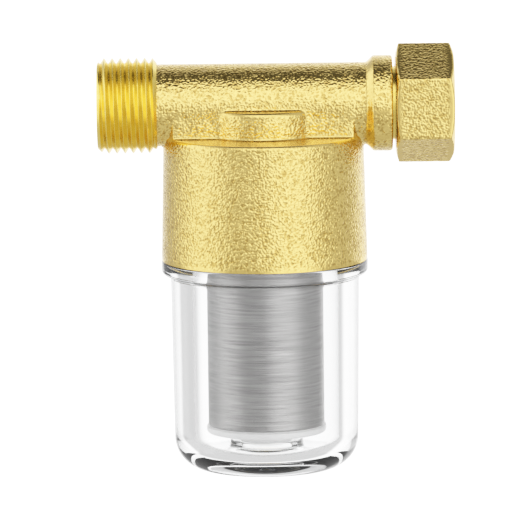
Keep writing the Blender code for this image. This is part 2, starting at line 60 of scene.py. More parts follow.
HEAD_LOW, HEAD_HIGH = box_mm("filter_head")
NUT_LOW, NUT_HIGH = box_mm("swivel_nut")
BOWL_HIGH = box_mm("filter_bowl")[1]
SLEEVE_LOW, SLEEVE_HIGH = box_mm("mesh_sleeve")

# Run: the horizontal tube with its fittings
RUN_Z = (NUT_LOW.z + NUT_HIGH.z) / 2
RUN_R = 9.15
RUN_BORE_R = 6.5
OUTLET_X = HEAD_LOW.x
NECK_END_X = HEAD_HIGH.x
NECK_R = 8.15
NECK_GROOVE_R = 7.3
NECK_GROOVE_X = (31.2, 33.0)
COLLAR_R = 10.65
COLLAR_X = (24.5, 28.8)
FLARE_X = 23.0
THREAD_END_X = -23.6
CAST_START_X = -24.9

# Threads
PIPE_PITCH = 1.814
PIPE_DEPTH = 1.162
PIPE_FLAT = 0.04  # share of the pitch that is flat at the crest, and again at the root
PIPE_CREST_R = HEAD_HIGH.z - RUN_Z
PIPE_ROOT_R = PIPE_CREST_R - PIPE_DEPTH
BOWL_PITCH = 3.0
BOWL_CREST_R = 19.95
BOWL_ROOT_R = 18.6
BOWL_THREAD_Z = (49.7, 57.9)
SOCKET_THREAD_Z = (47.0, 59.5)

# Cup, fairing and boss of the head
RIM_Z = HEAD_LOW.z
RIM_R = HEAD_HIGH.y
CUP_TOP_R = 22.3
SHOULDER_Z = 75.0
FAIRING_HALF_WIDTH = 8.95
FAIRING_R = 21.9
BOSS_R = 13.2
BOSS_TOP_Z = 81.2
BOSS_FILLET_R = 2.0

# Inside of the head
CAVITY_R = 18.8
CEILING_Z = 71.5
GLAND_R = 21.3
GLAND_TOP_Z = 49.4
CHAMBER_R = 9.0
CHAMBER_TOP_Z = 78.8
RISER_R = 6.2
OUTLET_BORE_END_X = 7.0
INLET_BORE_END_X = 11.5
PORT_X = 15.6
PORT_HALF = (3.2, 5.4)
CLEARANCE = 0.3

# Blasted skin: voxel size of the head and of the nut, and height and spacing of the grain
SKIN_VOXEL = 0.25
NUT_VOXEL = 0.24
GRAIN_HEIGHT = 0.080
GRAIN_SPACING = 0.70
STRENGTH_ATTRIBUTE = "grain_strength"  # how strong the grain is at each point, for its material
RELIEF_ATTRIBUTE = "grain_relief"  # how high each point stands in the grain

# Segments around round pieces
BOWL_ROUND = 192
ROUND = 160
SMALL_ROUND = 96
DISC_ROUND = 64


# ---------------------------------------------------------------- camera, light, floor


def direction(azimuth, elevation):
    """Unit vector in degrees. Azimuth 0 points at the camera's side, -Y, and 90 at +X."""
    a, e = math.radians(azimuth), math.radians(elevation)
    return Vector((math.sin(a) * math.cos(e), -math.cos(a) * math.cos(e), math.sin(e)))


def add_camera():
    """A long lens in front and a little above, with a slight roll."""
    elevation, roll = 9.0, 0.67
    lens, sensor, width_seen = 400.0, 36.0, 116.9
    centre = Vector((-0.85, 0.0, 46.2)) * MM
    data = bpy.data.cameras.new("camera")
    data.lens = lens
    data.sensor_width = sensor
    data.clip_start = 0.05
    data.clip_end = 50.0
    camera = bpy.data.objects.new("camera", data)
    bpy.context.scene.collection.objects.link(camera)
    back = direction(0, elevation)
    camera.location = centre + back * (width_seen * MM * lens / sensor)
    turn = (-back).to_track_quat("-Z", "Y").to_matrix().to_4x4()
    tilt = Matrix.Rotation(math.radians(-roll), 4, "Z")
    camera.matrix_world = Matrix.Translation(camera.location) @ turn @ tilt
    bpy.context.scene.camera = camera


# Soft cards around the object: azimuth, elevation, full inside and gone outside in degrees, then the level
CARDS = [
    (0, 38, 12, 44, 2.30),
    (-75, 4, 14, 38, 2.10),
    (-104, 26, 12, 30, 2.30),
    (34, 4, 13, 42, 2.30),
    (168, 0, 30, 42, 2.10),
    (180, 87, 17, 33, 0.10),
]
ROOM_LEVEL = 0.84
WHITE_LEVEL = 2.6
THROUGH_PLASTIC = 1.2  # the cards shine this much brighter through the bowl


def add_world():
    """A pale room with soft cards, for what shines or refracts. The view and matt surfaces see white."""
    world = bpy.data.worlds.new("studio")
    bpy.context.scene.world = world
    world.use_nodes = True
    nodes, links = world.node_tree.nodes, world.node_tree.links
    nodes.clear()
    place = nodes.new("ShaderNodeTexCoord")
    level = None
    for azimuth, elevation, full, gone, value in CARDS:
        facing = nodes.new("ShaderNodeVectorMath")
        facing.operation = "DOT_PRODUCT"
        facing.inputs[1].default_value = direction(azimuth, elevation)
        links.new(place.outputs["Generated"], facing.inputs[0])
        edge = nodes.new("ShaderNodeMapRange")
        edge.interpolation_type = "SMOOTHSTEP"
        edge.inputs["From Min"].default_value = math.cos(math.radians(gone))
        edge.inputs["From Max"].default_value = math.cos(math.radians(full))
        links.new(facing.outputs["Value"], edge.inputs["Value"])
        mix = nodes.new("ShaderNodeMix")
        mix.inputs["A"].default_value = ROOM_LEVEL
        mix.inputs["B"].default_value = value
        links.new(edge.outputs["Result"], mix.inputs["Factor"])
        if level is not None:
            links.new(level, mix.inputs["A"])
        level = mix.outputs["Result"]
    path = nodes.new("ShaderNodeLightPath")
    through = nodes.new("ShaderNodeMath")
    through.operation = "MULTIPLY_ADD"
    through.inputs[1].default_value = THROUGH_PLASTIC - 1.0
    through.inputs[2].default_value = 1.0
    links.new(path.outputs["Is Transmission Ray"], through.inputs[0])
    shown = nodes.new("ShaderNodeMath")
    shown.operation = "MULTIPLY"
    links.new(level, shown.inputs[0])
    links.new(through.outputs["Value"], shown.inputs[1])
    matt = nodes.new("ShaderNodeMath")
    matt.operation = "MAXIMUM"
    links.new(path.outputs["Is Camera Ray"], matt.inputs[0])
    links.new(path.outputs["Is Diffuse Ray"], matt.inputs[1])
    white = nodes.new("ShaderNodeMix")
    white.inputs["B"].default_value = WHITE_LEVEL
    links.new(matt.outputs["Value"], white.inputs["Factor"])
    links.new(shown.outputs["Value"], white.inputs["A"])
    background = nodes.new("ShaderNodeBackground")
    background.inputs["Color"].default_value = (1.0, 1.0, 1.0, 1.0)
    links.new(white.outputs["Result"], background.inputs["Strength"])
    output = nodes.new("ShaderNodeOutputWorld")
    links.new(background.outputs["Background"], output.inputs["Surface"])


def add_tone():
    """Highlights roll off softly, so the brightest brass turns pale while shaded brass keeps its depth."""
    view = bpy.context.scene.view_settings
    view.view_transform = "Standard"
    view.use_curve_mapping = True
    tone = view.curve_mapping
    top = 2.5
    steps = 12
    tone.white_level = (top, top, top)
    for i in range(1, steps):
        share = (i / steps) ** 2
        tone.curves[3].points.new(share, (1 - math.exp(-top * share)) / (1 - math.exp(-top)))
    tone.update()


def add_floor():
    """A pale sheet below the unscrewed bowl's lowest place. Shiny surfaces see the room instead."""
    side = 4.0
    bowl_travel, room_below = 90.0, 2.0
    grey = 0.52
    mesh = bpy.data.meshes.new("floor")
    made = bmesh.new()
    bmesh.ops.create_grid(made, x_segments=2, y_segments=2, size=side / 2)
    made.to_mesh(mesh)
    made.free()
    floor = bpy.data.objects.new("floor", mesh)
    bpy.context.scene.collection.objects.link(floor)
    floor.location.z = -(bowl_travel + room_below) * MM
    material = bpy.data.materials.new("floor")
    material.use_nodes = True
    shader = material.node_tree.nodes["Principled BSDF"]
    shader.inputs["Base Color"].default_value = (grey, grey, grey, 1.0)
    shader.inputs["Roughness"].default_value = 0.9
    shader.inputs["Specular IOR Level"].default_value = 0.0
    shader.inputs["Emission Color"].default_value = (1.0, 1.0, 1.0, 1.0)
    shader.inputs["Emission Strength"].default_value = 1.6
    mesh.materials.append(material)
    floor.visible_glossy = False
    floor.visible_transmission = False


# ---------------------------------------------------------------- materials


class Shader:
    """A Principled material with helpers for the nodes around it."""

    def __init__(self, name, colour, metallic, roughness):
        self.material = bpy.data.materials.new(name)
        self.material.use_nodes = True
        self.nodes = self.material.node_tree.nodes
        self.links = self.material.node_tree.links
        self.bsdf = self.nodes["Principled BSDF"]
        self.set("Base Color", (*colour, 1.0))
        self.set("Metallic", metallic)
        self.set("Roughness", roughness)
        self.place = self.nodes.new("ShaderNodeTexCoord").outputs["Object"]

    def set(self, socket, value):
        self.bsdf.inputs[socket].default_value = value

    def stretched(self, scale):
        mapping = self.nodes.new("ShaderNodeMapping")
        mapping.inputs["Scale"].default_value = scale
        self.links.new(self.place, mapping.inputs["Vector"])
        return mapping.outputs["Vector"]

    def noise(self, spacing_mm, detail=2.0, place=None, rough=0.5):
        """Cloudy noise whose lumps lie about spacing_mm apart."""
        node = self.nodes.new("ShaderNodeTexNoise")
        node.inputs["Scale"].default_value = 1.0 / (spacing_mm * MM)
        node.inputs["Detail"].default_value = detail
        node.inputs["Roughness"].default_value = rough
        self.links.new(place or self.place, node.inputs["Vector"])
        return node.outputs["Fac"]

    def ramp(self, factor, low, high, value_low, value_high):
        node = self.nodes.new("ShaderNodeMapRange")
        node.inputs["From Min"].default_value = low
        node.inputs["From Max"].default_value = high
        node.inputs["To Min"].default_value = value_low
        node.inputs["To Max"].default_value = value_high
        self.links.new(factor, node.inputs["Value"])
        return node.outputs["Result"]

    def colours(self, factor, first, second):
        """A mix of two colours, each a constant or the output of another mix."""
        node = self.nodes.new("ShaderNodeMix")
        node.data_type = "RGBA"
        self.links.new(factor, node.inputs[0])
        for socket, colour in ((node.inputs[6], first), (node.inputs[7], second)):
            if isinstance(colour, tuple):
                socket.default_value = (*colour, 1.0)
            else:
                self.links.new(colour, socket)
        return node.outputs[2]

    def attribute(self, name):
        """A value kept at each point of the mesh."""
        node = self.nodes.new("ShaderNodeAttribute")
        node.attribute_name = name
        return node.outputs["Fac"]

    def blend(self, factor, first, second):
        """From first, where factor is 0, to second; each may be a number or an output."""
        node = self.nodes.new("ShaderNodeMix")
        for name, value in (("Factor", factor), ("A", first), ("B", second)):
            if isinstance(value, (int, float)):
                node.inputs[name].default_value = value
            else:
                self.links.new(value, node.inputs[name])
        return node.outputs["Result"]

    def bump(self, height, depth_mm, under=None):
        node = self.nodes.new("ShaderNodeBump")
        node.inputs["Distance"].default_value = depth_mm * MM
        self.links.new(height, node.inputs["Height"])
        if under is not None:
            self.links.new(under, node.inputs["Normal"])
        return node.outputs["Normal"]

    def feed(self, socket, output):
        self.links.new(output, self.bsdf.inputs[socket])


def cast_brass():
    """Blasted brass: pale gold ridges over darker pits, the pits' dark a painted shade mixed with random
    tone, as strong as the mesh says at each place.
    """
    s = Shader("cast_brass", (0.92, 0.65, 0.19), 1.0, 0.13)
    lumps = s.blend(s.attribute(STRENGTH_ATTRIBUTE), 0.55, s.noise(0.46, 0.0))
    relief = s.ramp(s.attribute(RELIEF_ATTRIBUTE), -0.18, 0.10, 0, 1)
    # Painted shade: the low places of the grain are coloured darker, as if shaded, with some random tone
    # from the lumps.
    pit_shade_and_tone = s.blend(0.2, relief, s.ramp(lumps, 0.36, 0.62, 0, 1))
    s.feed("Base Color", s.colours(pit_shade_and_tone, (0.55, 0.355, 0.085), (1.0, 0.72, 0.215)))
    s.feed("Roughness", s.ramp(s.noise(0.6, 3.0), 0.3, 0.7, 0.09, 0.16))
    s.feed("Normal", s.bump(lumps, 0.16))
    return s.material


def machined_brass():
    """Turned brass: deeper yellow with fine rings from the tool."""
    s = Shader("machined_brass", (0.97, 0.65, 0.10), 1.0, 0.2)
    cloud = s.ramp(s.noise(2.5, 3.0), 0.3, 0.7, 0, 1)
    s.feed("Base Color", s.colours(cloud, (0.94, 0.67, 0.13), (0.98, 0.75, 0.19)))
    s.feed("Roughness", s.ramp(s.noise(0.5, 3.0), 0.3, 0.7, 0.16, 0.30))
    s.feed("Normal", s.bump(s.noise(0.3, 2.0, s.stretched((3.0, 0.6, 0.6))), 0.012))
    return s.material


def clear_plastic():
    """Clear moulded plastic with painted shade where it is seen edge-on, standing in for the dark edges its
    refraction gives, and faint handling marks.
    """
    s = Shader("clear_plastic", (0.985, 0.99, 0.99), 0.0, 0.02)
    s.set("Transmission Weight", 1.0)
    s.set("IOR", 1.49)
    s.feed("Roughness", s.ramp(s.noise(4.0, 4.0), 0.55, 0.8, 0.0, 0.05))
    facing = s.nodes.new("ShaderNodeLayerWeight").outputs["Facing"]
    # Painted shade: the plastic is coloured grey where its walls turn away from the view, in place of the
    # dark edges refraction gives.
    painted_edge_shade = s.ramp(facing, 0.56, 0.80, 0, 1)
    s.feed("Base Color", s.colours(painted_edge_shade, (0.995, 0.998, 0.998), (0.55, 0.555, 0.56)))
    return s.material


def woven_steel():
    """Fine woven steel cloth, drawn round the sleeve in irregular bright and dull courses."""
    wire_pitch = 0.24
    s = Shader("woven_steel", (0.60, 0.59, 0.585), 1.0, 0.36)
    courses = s.noise(1.0, 3.0, s.stretched((0.11, 0.11, 2.4)), 0.6)
    bright = s.ramp(courses, 0.3, 0.7, 0, 1)
    s.feed("Base Color", s.colours(bright, (0.205, 0.201, 0.198), (0.385, 0.38, 0.375)))
    s.feed("Roughness", s.ramp(courses, 0.3, 0.7, 0.38, 0.29))
    wires = s.nodes.new("ShaderNodeTexWave")
    wires.wave_type = "BANDS"
    wires.bands_direction = "Z"
    wires.inputs["Scale"].default_value = 1.0 / (20 * wire_pitch * MM) * math.pi
    wires.inputs["Distortion"].default_value = 0.6
    wires.inputs["Detail Scale"].default_value = 2.0
    s.links.new(s.place, wires.inputs["Vector"])
    streaks = s.bump(courses, 0.012)
    s.feed("Normal", s.bump(wires.outputs["Fac"], 0.012, streaks))
    return s.material


def white_plastic():
    """Moulded white plastic with a faint skin texture, and a painted glow that lifts it where little light
    reaches inside the bowl.
    """
    s = Shader("white_plastic", (0.68, 0.68, 0.675), 0.0, 0.34)
    # Painted light: the plastic glows faintly, so that it stays pale where it lies in shade inside the
    # bowl.
    s.set("Emission Color", (1.0, 1.0, 1.0, 1.0))
    s.set("Emission Strength", 0.35)
    s.feed("Base Color", s.colours(s.noise(5.0, 2.0), (0.66, 0.66, 0.655), (0.70, 0.70, 0.695)))
    s.feed("Roughness", s.ramp(s.noise(0.8, 3.0), 0.3, 0.7, 0.28, 0.42))
    s.feed("Normal", s.bump(s.noise(0.25, 2.0), 0.006))
    return s.material


def silicone():
    """Translucent silicone rubber with a slightly dusty surface."""
    s = Shader("silicone", (0.80, 0.83, 0.85), 0.0, 0.42)
    s.set("Subsurface Weight", 0.3)
    s.set("Subsurface Radius", (0.001, 0.001, 0.001))
    s.feed("Roughness", s.ramp(s.noise(0.7, 3.0), 0.3, 0.7, 0.34, 0.55))
    s.feed("Normal", s.bump(s.noise(0.2, 2.0), 0.008))
    return s.material


def fibre():
    """Dark pressed-fibre washer with short pale flecks."""
    s = Shader("fibre", (0.10, 0.10, 0.10), 0.0, 0.7)
    flecks = s.noise(0.35, 3.0, s.stretched((1.0, 0.35, 1.0)))
    pale = s.ramp(flecks, 0.45, 0.7, 0, 1)
    s.feed("Base Color", s.colours(pale, (0.03, 0.03, 0.032), (0.09, 0.09, 0.088)))
    s.feed("Normal", s.bump(flecks, 0.03))
    return s.material


def drawn_steel(name, colour, low, high):
    """Steel with fine lines along its length, Z."""
    s = Shader(name, colour, 1.0, (low + high) / 2)
    lines = s.noise(0.5, 3.0, s.stretched((2.5, 2.5, 0.08)))
    s.feed("Roughness", s.ramp(lines, 0.3, 0.7, low, high))
    s.feed("Normal", s.bump(lines, 0.008))
    return s.material


def nickel():
    """Nickel-plated magnet: bright, faintly warm, with soft pitting."""
    s = Shader("nickel", (0.50, 0.48, 0.45), 1.0, 0.18)
    s.feed("Roughness", s.ramp(s.noise(0.9, 4.0), 0.35, 0.7, 0.12, 0.3))
    s.feed("Normal", s.bump(s.noise(0.4, 3.0), 0.006))
    return s.material


def soft_iron():
    """Turned soft iron, darker, with a little oxide."""
    s = Shader("soft_iron", (0.36, 0.36, 0.37), 1.0, 0.42)
    oxide = s.ramp(s.noise(1.4, 4.0), 0.45, 0.7, 0, 1)
    s.feed("Base Color", s.colours(oxide, (0.27, 0.27, 0.28), (0.22, 0.18, 0.155)))
    s.feed("Roughness", s.ramp(s.noise(0.6, 3.0), 0.3, 0.7, 0.34, 0.55))
    return s.material


# ---------------------------------------------------------------- shapes


def arc(centre, radius, start_deg, end_deg, steps):
    angles = [math.radians(start_deg + (end_deg - start_deg) * i / steps) for i in range(steps + 1)]
    return [(centre[0] + radius * math.cos(a), centre[1] + radius * math.sin(a)) for a in angles]


def soften(corners, closed=False, steps=5):
    """An outline from corners (r, z, rounding). A rounded corner becomes an arc touching both sides."""
    outline = []
    count = len(corners)
    for i, (r, z, rounding) in enumerate(corners):
        at_end = not closed and i in (0, count - 1)
        if at_end or rounding <= 0:
            outline.append((r, z))
            continue
        here = Vector((r, z))
        before = (Vector(corners[i - 1][:2]) - here).normalized()
        after = (Vector(corners[(i + 1) % count][:2]) - here).normalized()
        half = before.angle(after) / 2
        if half > math.radians(89.0):
            outline.append((r, z))
            continue
        centre = here + (before + after).normalized() * (rounding / math.sin(half))
        start = here + before * (rounding / math.tan(half)) - centre
        end = here + after * (rounding / math.tan(half)) - centre
        sweep = start.angle_signed(end)
        for k in range(steps + 1):
            turned = start.copy()
            turned.rotate(Matrix.Rotation(-sweep * k / steps, 2))
            outline.append(tuple(centre + turned))
    return outline


def mesh_from(made, name):
    bmesh.ops.recalc_face_normals(made, faces=made.faces)
    mesh = bpy.data.meshes.new(name)
    made.to_mesh(mesh)
    made.free()
    return mesh


def add(name, mesh, material):
    obj = bpy.data.objects.new(name, mesh)
    mesh.materials.clear()
    mesh.materials.append(material)
    bpy.context.scene.collection.objects.link(obj)
    return obj


def turned(name, outline, material, segments=ROUND, closed=True, wobble=None):
    """A solid turned round Z. wobble(angle, r, z) gives the radius at that place."""
    made = bmesh.new()
    rings = []
    for r, z in outline:
        if r < 1e-6:
            rings.append([made.verts.new((0, 0, z * MM))])
            continue
        ring = []
        for i in range(segments):
            angle = math.tau * i / segments
            radius = wobble(angle, r, z) if wobble else r
            here = (radius * math.cos(angle), radius * math.sin(angle), z)
            ring.append(made.verts.new([value * MM for value in here]))
        rings.append(ring)
    pairs = list(zip(rings, rings[1:]))
    if closed:
        pairs.append((rings[-1], rings[0]))
    for a, b in pairs:
        for i in range(segments):
            j = (i + 1) % segments
            corners = [a[i % len(a)], a[j % len(a)], b[j % len(b)], b[i % len(b)]]
            corners = [v for k, v in enumerate(corners) if v not in corners[:k]]
            if len(corners) > 2:
                made.faces.new(corners)
    return add(name, mesh_from(made, name), material)


def spindle(name, corners, material, segments, twist):
    """A solid turned from axis to axis. Its twist in degrees keeps its facets off those it is joined to."""
    return rotated(turned(name, soften(corners), material, segments, closed=False), twist)


def prism(name, outline, low, high, material, eased=0.0):
    """A straight-sided solid on an outline (x, y), its top edge rounded by eased."""
    made = bmesh.new()
    base = made.faces.new([made.verts.new((x * MM, y * MM, low * MM)) for x, y in outline])
    raised = bmesh.ops.extrude_face_region(made, geom=[base])["geom"]
    top = [item for item in raised if isinstance(item, bmesh.types.BMVert)]
    rim = [item for item in raised if isinstance(item, bmesh.types.BMEdge)]
    bmesh.ops.translate(made, verts=top, vec=(0.0, 0.0, (high - low) * MM))
    if eased:
        bmesh.ops.bevel(made, geom=rim, offset=eased * MM, segments=5, profile=0.5, affect="EDGES")
    return add(name, mesh_from(made, name), material)


def v_thread(flat):
    """One pitch of a thread as (share of the pitch, share of the depth), with its crest and root eased."""
    half = (1 - 2 * flat) / 2
    rows = []
    for share in (0.0, 0.06, 0.3, 0.7, 0.94, 1.0):
        rows.append((-0.5 + flat / 2 + half * share, share * share * (3 - 2 * share) * 0.35 + share * 0.65))
    return rows + [(-offset, depth) for offset, depth in reversed(rows)]


def threaded_rod(name, radii, pitch, span, phase, rows, run_out, segments, material):
    """A right-handed threaded rod along Z between two planes.

    rows is one pitch, from root to crest and back, and run_out is the slope of the thread at its two ends.
    """
    start, end = span
    root_r, crest_r = radii
    seam = 0.43
    first = math.floor((start - phase) / pitch) - 3
    last = math.ceil((end - phase) / pitch) + 2
    ladder = [((k + offset) * pitch, depth) for k in range(first, last + 1) for offset, depth in rows]
    top = len(ladder) - 1

    def point(i, row):
        offset, depth = ladder[row]
        turned_share = (i + seam) / segments
        z = min(max(phase + pitch * turned_share + offset, start), end)
        room = min((z - start) * run_out[0], (end - z) * run_out[1])
        r = (root_r + min(depth * (crest_r - root_r), room)) * MM
        return (r * math.cos(math.tau * turned_share), r * math.sin(math.tau * turned_share), z * MM)

    made = bmesh.new()
    grid = [[made.verts.new(point(i, row)) for row in range(top + 1)] for i in range(segments)]
    for i in range(segments):
        wrap = 0 if i + 1 < segments else len(rows)
        beside = grid[(i + 1) % segments]
        for row in range(top):
            low, high = min(row + wrap, top), min(row + 1 + wrap, top)
            corners = (grid[i][row], beside[low], beside[high], grid[i][row + 1])
            if corners[1] is not corners[2]:
                made.faces.new(corners)
    bmesh.ops.remove_doubles(made, verts=made.verts, dist=0.0005 * MM)
    bmesh.ops.holes_fill(made, edges=made.edges, sides=0)
    bmesh.ops.triangulate(made, faces=[f for f in made.faces if len(f.verts) > 4])
    return add(name, mesh_from(made, name), material)


def along_run(obj):
    """Turns an object made along Z so that it lies along the run, its zero at the bowl's axis."""
    obj.data.transform(Matrix.Translation((0, 0, RUN_Z * MM)) @ Matrix.Rotation(math.pi / 2, 4, "Y"))
    return obj


def bake_modifiers(obj):
    graph = bpy.context.evaluated_depsgraph_get()
    mesh = bpy.data.meshes.new_from_object(obj.evaluated_get(graph))
    obj.modifiers.clear()
    obj.data = mesh
    return obj


def combine(obj, operation, *others):
    """Cuts the others out of obj, or joins them to it, and removes them."""
    for other in others:
        step = obj.modifiers.new("combine", "BOOLEAN")
        step.operation = operation
        step.solver = "MANIFOLD"
        step.object = other
        bake_modifiers(obj)
        bpy.data.objects.remove(other)
    return obj


def rotated(obj, degrees):
    obj.data.transform(Matrix.Rotation(math.radians(degrees), 4, "Z"))
    return obj


def smooth(obj, sharp_deg=35.0):
    obj.data.shade_smooth()
    obj.data.set_sharp_from_angle(angle=math.radians(sharp_deg))
    return obj


def place(obj, body, slot, *nodes):
    """The finished piece rides on its body and stands for its CAD nodes, which it hides. Its slot is not
    used.
    """
    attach(obj, body)
    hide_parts(*nodes)
    return obj


def blast(obj, voxel, relax, mask):
    """Turns a rough union into one skin with eased edges, then raises the grain on it where mask says."""
    skin = obj.modifiers.new("skin", "REMESH")
    skin.mode = "VOXEL"
    skin.voxel_size = voxel * MM
    ease = obj.modifiers.new("ease", "SMOOTH")
    ease.factor = 0.5
    ease.iterations = relax
    bake_modifiers(obj)
    mesh = obj.data
    amounts = [mask(vertex.co / MM) for vertex in mesh.vertices]
    relief = [grain(vertex.co / MM) * amount for vertex, amount in zip(mesh.vertices, amounts)]
    mesh.attributes.new(STRENGTH_ATTRIBUTE, "FLOAT", "POINT").data.foreach_set("value", amounts)
    mesh.attributes.new(RELIEF_ATTRIBUTE, "FLOAT", "POINT").data.foreach_set("value", relief)
    normals = [vertex.normal.copy() for vertex in mesh.vertices]
    for vertex, normal, height in zip(mesh.vertices, normals, relief):
        vertex.co += normal * (height * GRAIN_HEIGHT * MM)
    mesh.update()
    return obj


def grain(here):
    """Height of the grain as a share of GRAIN_HEIGHT: worm-like ridges with finer lumps."""
    coarse = noise.noise(here / GRAIN_SPACING)
    fine = noise.noise(here / (GRAIN_SPACING * 0.5) + Vector((17.0, 5.0, 3.0)))
    return 0.25 - abs(coarse) + 0.35 * fine


# ---------------------------------------------------------------- brass head


def fairing_outline():
    """Plan of the fairing and boss: a slab with round ends, and a round boss with filleted corners."""
    w, fillet = FAIRING_HALF_WIDTH, BOSS_FILLET_R
    end_angle = math.degrees(math.asin(w / FAIRING_R))
    centre_y = w + fillet
    centre_x = math.sqrt((BOSS_R + fillet) ** 2 - centre_y**2)
    touch = math.degrees(math.atan2(centre_y, centre_x))
    quarter = arc((0, 0), FAIRING_R, 0, end_angle, 16)
    quarter += arc((centre_x, centre_y), fillet, 270, 180 + touch, 8)
    quarter += arc((0, 0), BOSS_R, touch, 90, 16)[1:]
    half = quarter + [(-x, y) for x, y in reversed(quarter[:-1])]
    return half + [(x, -y) for x, y in reversed(half[1:-1])]


def head_void(material):
    """Everything that is hollow in the head, joined into one cutter."""
    cavity = [(0, CEILING_Z, 0), (CAVITY_R, CEILING_Z, 0.8), (CAVITY_R, GLAND_TOP_Z, 0)]
    cavity += [(GLAND_R, GLAND_TOP_Z, 0.1), (GLAND_R, RIM_Z + 0.4, 0), (GLAND_R + 0.5, RIM_Z - 0.1, 0)]
    cavity += [(GLAND_R + 0.5, RIM_Z - 3, 0), (0, RIM_Z - 3, 0)]
    void = turned("void", soften(cavity), material, ROUND, closed=False)
    chamber = [(0, RUN_Z + 1, 0), (RISER_R, RUN_Z + 1, 0), (RISER_R, CHAMBER_TOP_Z, 0.2)]
    chamber += [(CHAMBER_R, CHAMBER_TOP_Z, 0.2), (CHAMBER_R, CEILING_Z + 0.5, 0)]
    chamber += [(CHAMBER_R + 0.5, CEILING_Z, 0), (CHAMBER_R + 0.5, CEILING_Z - 1, 0), (0, CEILING_Z - 1, 0)]
    combine(void, "UNION", spindle("chamber", chamber, material, SMALL_ROUND, 0.7))
    for low, high, name in (
        (OUTLET_X - 2, OUTLET_BORE_END_X, "outlet_bore"),
        (INLET_BORE_END_X, NECK_END_X + 2, "inlet_bore"),
    ):
        bore = [(0, high, 0), (RUN_BORE_R, high, 0.6), (RUN_BORE_R, low, 0), (0, low, 0)]
        combine(void, "UNION", along_run(spindle(name, bore, material, SMALL_ROUND, 1.1)))
    half_x, half_y = PORT_HALF
    port = [(0, RUN_Z - 1, 0), (half_x, RUN_Z - 1, 0), (half_x, CEILING_Z - 1, 0), (0, CEILING_Z - 1, 0)]
    port = spindle("port", port, material, SMALL_ROUND, 1.3)
    widened = Matrix.Diagonal((1, half_y / half_x, 1, 1))
    port.data.transform(Matrix.Translation((PORT_X * MM, 0, 0)) @ widened)
    combine(void, "UNION", port)
    radii = (BOWL_ROOT_R + CLEARANCE, BOWL_CREST_R + CLEARANCE)
    rows = bowl_thread_rows(CLEARANCE)
    run_out = (9.0, 1.2)
    thread = threaded_rod(
        "bowl_thread", radii, BOWL_PITCH, SOCKET_THREAD_Z, BOWL_THREAD_Z[0], rows, run_out, ROUND, material
    )
    return combine(void, "UNION", thread)


def bowl_thread_rows(wider):
    """One pitch of the bowl's coarse thread; wider is the extra room the socket leaves on each flank."""
    flank = math.tan(math.radians(30.0))
    crest_half = 0.3 + wider / math.cos(math.radians(30.0)) - wider * flank
    root_half = crest_half + (BOWL_CREST_R - BOWL_ROOT_R) * flank
    rows = []
    for share in (0.0, 0.08, 0.3, 0.7, 0.92, 1.0):
        eased = share * share * (3 - 2 * share) * 0.3 + share * 0.7
        rows.append((-(root_half + (crest_half - root_half) * share) / BOWL_PITCH, eased))
    return rows + [(-offset, depth) for offset, depth in reversed(rows)]


def nearness(distance, reach):
    """1 at the place itself, easing to 0 at reach from it."""
    share = max(0.0, 1.0 - abs(distance) / reach)
    return share * share * (3 - 2 * share)


def head_grain(here):
    """Strength of the grain: full on open faces, weak on the flare, the eased edges and by the rim."""
    smooth_here = nearness(here.z - RIM_Z, 1.6)
    if here.z > SHOULDER_Z - 6:
        smooth_here = max(smooth_here, nearness(here.x - (FLARE_X + COLLAR_X[0]) / 2, 1.5))
    if abs(here.y) > RUN_R:
        smooth_here = max(smooth_here, nearness(here.z - (BOSS_TOP_Z - 0.3), 1.3))
    radius = math.hypot(here.x, here.y)
    by_fairing = abs(here.y) < FAIRING_HALF_WIDTH + 1.2 or radius < BOSS_R + 1.2
    if by_fairing or radius > CUP_TOP_R - 1.6:
        smooth_here = max(smooth_here, nearness(here.z - SHOULDER_Z, 1.3))
    return 1.0 - 0.9 * smooth_here


def make_head(cast, machined):
    """The casting with its blasted skin, then the bores, the bowl's thread and the flat rim cut in it."""
    cup = [(0, SHOULDER_Z, 0), (CUP_TOP_R, SHOULDER_Z, 0.7), (RIM_R, RIM_Z, 0)]
    cup += [(RIM_R, RIM_Z - 1.5, 0), (0, RIM_Z - 1.5, 0)]
    head = turned("head_casting", soften(cup), cast, ROUND, closed=False)
    run = [(0, COLLAR_X[1], 0), (COLLAR_R, COLLAR_X[1], 0.5), (COLLAR_R, COLLAR_X[0], 0.3)]
    run += [(RUN_R, FLARE_X, 0.3), (RUN_R, CAST_START_X, 0.2), (0, CAST_START_X, 0)]
    combine(head, "UNION", along_run(spindle("run", run, cast, ROUND, 0.9)))
    combine(head, "UNION", prism("fairing", fairing_outline(), SHOULDER_Z - 1.5, BOSS_TOP_Z, cast, 0.9))
    voxel = SKIN_VOXEL * 1
    blast(head, voxel, 2, head_grain)
    facing = [(0, RIM_Z, 0), (RIM_R + 3, RIM_Z, 0), (RIM_R + 3, RIM_Z - 3, 0), (0, RIM_Z - 3, 0)]
    combine(head, "DIFFERENCE", spindle("facing", facing, machined, ROUND, 0.5))
    combine(head, "DIFFERENCE", head_void(machined))
    place(smooth(head, 40.0), "head", "cast_brass", "filter_head")


def make_outlet_thread(machined):
    """The turned G1/2 spigot with its bore."""
    rows = v_thread(PIPE_FLAT)
    span = (OUTLET_X, THREAD_END_X)
    radii = (PIPE_ROOT_R, PIPE_CREST_R)
    rod = threaded_rod(
        "outlet_thread", radii, PIPE_PITCH, span, OUTLET_X + 0.7, rows, (1.0, 1.2), ROUND, machined
    )
    low, high = OUTLET_X - 1, THREAD_END_X + 1
    chamfer = 0.5
    mouth_r = RUN_BORE_R + chamfer
    bore = [(0, high, 0), (RUN_BORE_R, high, 0), (RUN_BORE_R, OUTLET_X + chamfer, 0)]
    bore += [(mouth_r, OUTLET_X, 0), (mouth_r, low, 0), (0, low, 0)]
    combine(rod, "DIFFERENCE", spindle("bore", bore, machined, SMALL_ROUND, 0.8))
    place(smooth(along_run(rod), 30.0), "head", "bright_brass", "filter_head")


